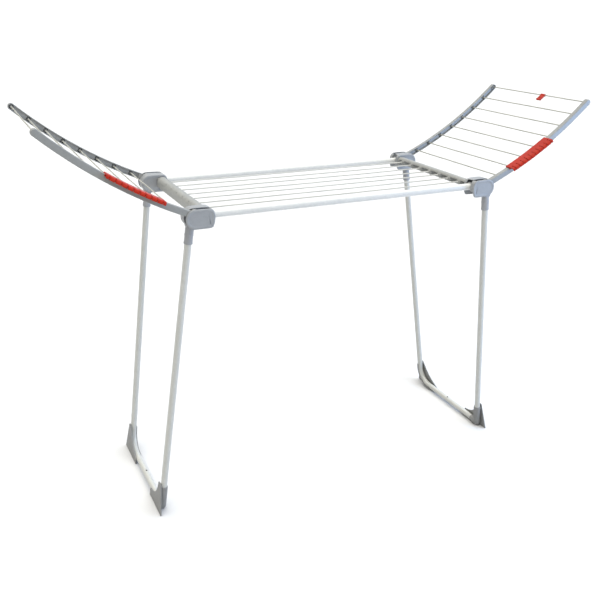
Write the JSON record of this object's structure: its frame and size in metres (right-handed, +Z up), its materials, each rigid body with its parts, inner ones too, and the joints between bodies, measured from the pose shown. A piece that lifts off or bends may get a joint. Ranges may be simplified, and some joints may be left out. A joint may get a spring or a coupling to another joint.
{
  "type": "folding clothes drying rack",
  "caption": "Folding clothes airer: tubular frame with line wires, two curved wings that fold over the middle, leg frames that fold underneath, hanger combs and a clip.",
  "frame": {"origin": "middle of the bounding box at floor level", "axes": "+Z up, +X along the rack from the left wing tip to the right wing tip (the right wing carries the clip), -Y the front side with the hanger combs"},
  "size_m": [1.6716, 0.4978, 1.1438],
  "materials": {
    "tube_paint": "smooth off-white powder coat",
    "wire_coat": "off-white coated steel wire",
    "housing_plastic": "light grey moulded plastic, satin",
    "arm_plastic": "mid grey moulded plastic, satin",
    "foot_plastic": "darker grey moulded plastic",
    "red_plastic": "red moulded plastic, semi-gloss",
    "steel": "zinc-plated"
  },
  "bodies": {
    "centre_frame": {"front_rail": "tube_paint", "rear_rail": "tube_paint", "left_crossbar": "housing_plastic", "right_crossbar": "housing_plastic", "line_wires": "wire_coat", "front_left_housing_cover": "housing_plastic", "front_left_housing_base": "housing_plastic", "rear_left_housing_cover": "housing_plastic", "rear_left_housing_base": "housing_plastic", "front_right_housing_cover": "housing_plastic", "front_right_housing_base": "housing_plastic", "rear_right_housing_cover": "housing_plastic", "rear_right_housing_base": "housing_plastic", "wing_hinge_pins": "steel", "leg_hinge_pins": "steel", "housing_screws": "steel"},
    "left_wing": {"left_wing_front_arm": "arm_plastic", "left_wing_rear_arm": "arm_plastic", "left_wing_wires": "wire_coat", "left_hanger_comb": "red_plastic"},
    "right_wing": {"right_wing_front_arm": "arm_plastic", "right_wing_rear_arm": "arm_plastic", "right_wing_wires": "wire_coat", "right_hanger_comb": "red_plastic"},
    "lock_clip": {"lock_clip": "red_plastic"},
    "left_legs": {"left_bent_leg": "tube_paint", "left_straight_leg": "tube_paint", "left_front_sleeve": "housing_plastic", "left_rear_sleeve": "housing_plastic", "left_front_foot": "foot_plastic", "left_rear_foot": "foot_plastic"},
    "right_legs": {"right_bent_leg": "tube_paint", "right_straight_leg": "tube_paint", "right_front_sleeve": "housing_plastic", "right_rear_sleeve": "housing_plastic", "right_front_foot": "foot_plastic", "right_rear_foot": "foot_plastic"}
  },
  "joints": [
    {"name": "left_wing_fold", "type": "hinge", "parent": "centre_frame", "child": "left_wing", "pos_m": [-0.462, 0.0101, 0.91], "axis": [0, 1, 0], "range_deg": [0, 136]},
    {"name": "right_wing_fold", "type": "hinge", "parent": "centre_frame", "child": "right_wing", "pos_m": [0.462, 0.0101, 0.91], "axis": [0, -1, 0], "range_deg": [0, 136]},
    {"name": "left_legs_fold", "type": "hinge", "parent": "centre_frame", "child": "left_legs", "pos_m": [-0.46955, 0.0101, 0.876], "axis": [0, -1, 0], "range_deg": [0, 97.65]},
    {"name": "right_legs_fold", "type": "hinge", "parent": "centre_frame", "child": "right_legs", "pos_m": [0.46955, 0.0101, 0.876], "axis": [0, 1, 0], "range_deg": [0, 94.15]},
    {"name": "lock_clip_turn", "type": "hinge", "parent": "right_wing", "child": "lock_clip", "pos_m": [0.82652, -0.0229, 1.13447], "axis": [0, 1, 0], "continuous": true}
  ]
}
